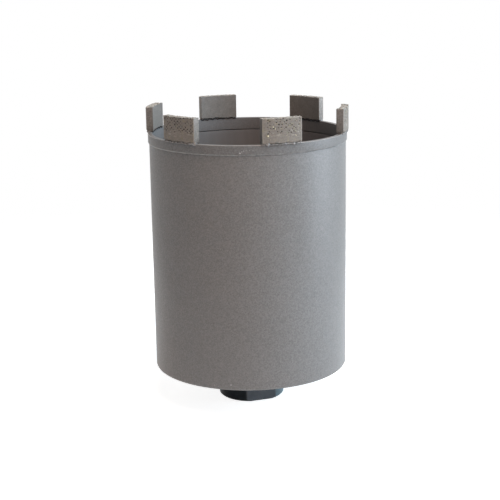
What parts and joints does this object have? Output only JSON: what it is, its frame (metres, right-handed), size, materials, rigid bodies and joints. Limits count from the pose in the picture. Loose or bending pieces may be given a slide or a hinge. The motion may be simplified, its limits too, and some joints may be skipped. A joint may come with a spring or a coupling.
{
  "type": "diamond core bit",
  "caption": "Thin steel barrel with a crown of curved diamond cutting segments, closed by an end plate and a threaded drive hub with wrench flats.",
  "frame": {"origin": "centre of the drive hub's open end face, which the bit stands on", "axes": "+Z along the axis of rotation, towards the cutting segments; segment_1 and one wrench flat face -Y"},
  "size_m": [0.1204, 0.1226, 0.182],
  "materials": {
    "barrel_paint": "satin",
    "ring_paint": "satin",
    "plate_steel": "satin",
    "hub_steel": "satin",
    "weld_steel": "satin",
    "segment_metal": "matte"
  },
  "bodies": {
    "root": {"barrel": "barrel_paint", "crown_ring": "ring_paint", "end_plate": "plate_steel", "plate_weld": "weld_steel", "drive_hub": "hub_steel", "hub_weld": "weld_steel", "segment_1": "segment_metal", "segment_2": "segment_metal", "segment_3": "segment_metal", "segment_4": "segment_metal", "segment_5": "segment_metal", "segment_6": "segment_metal"}
  },
  "joints": []
}
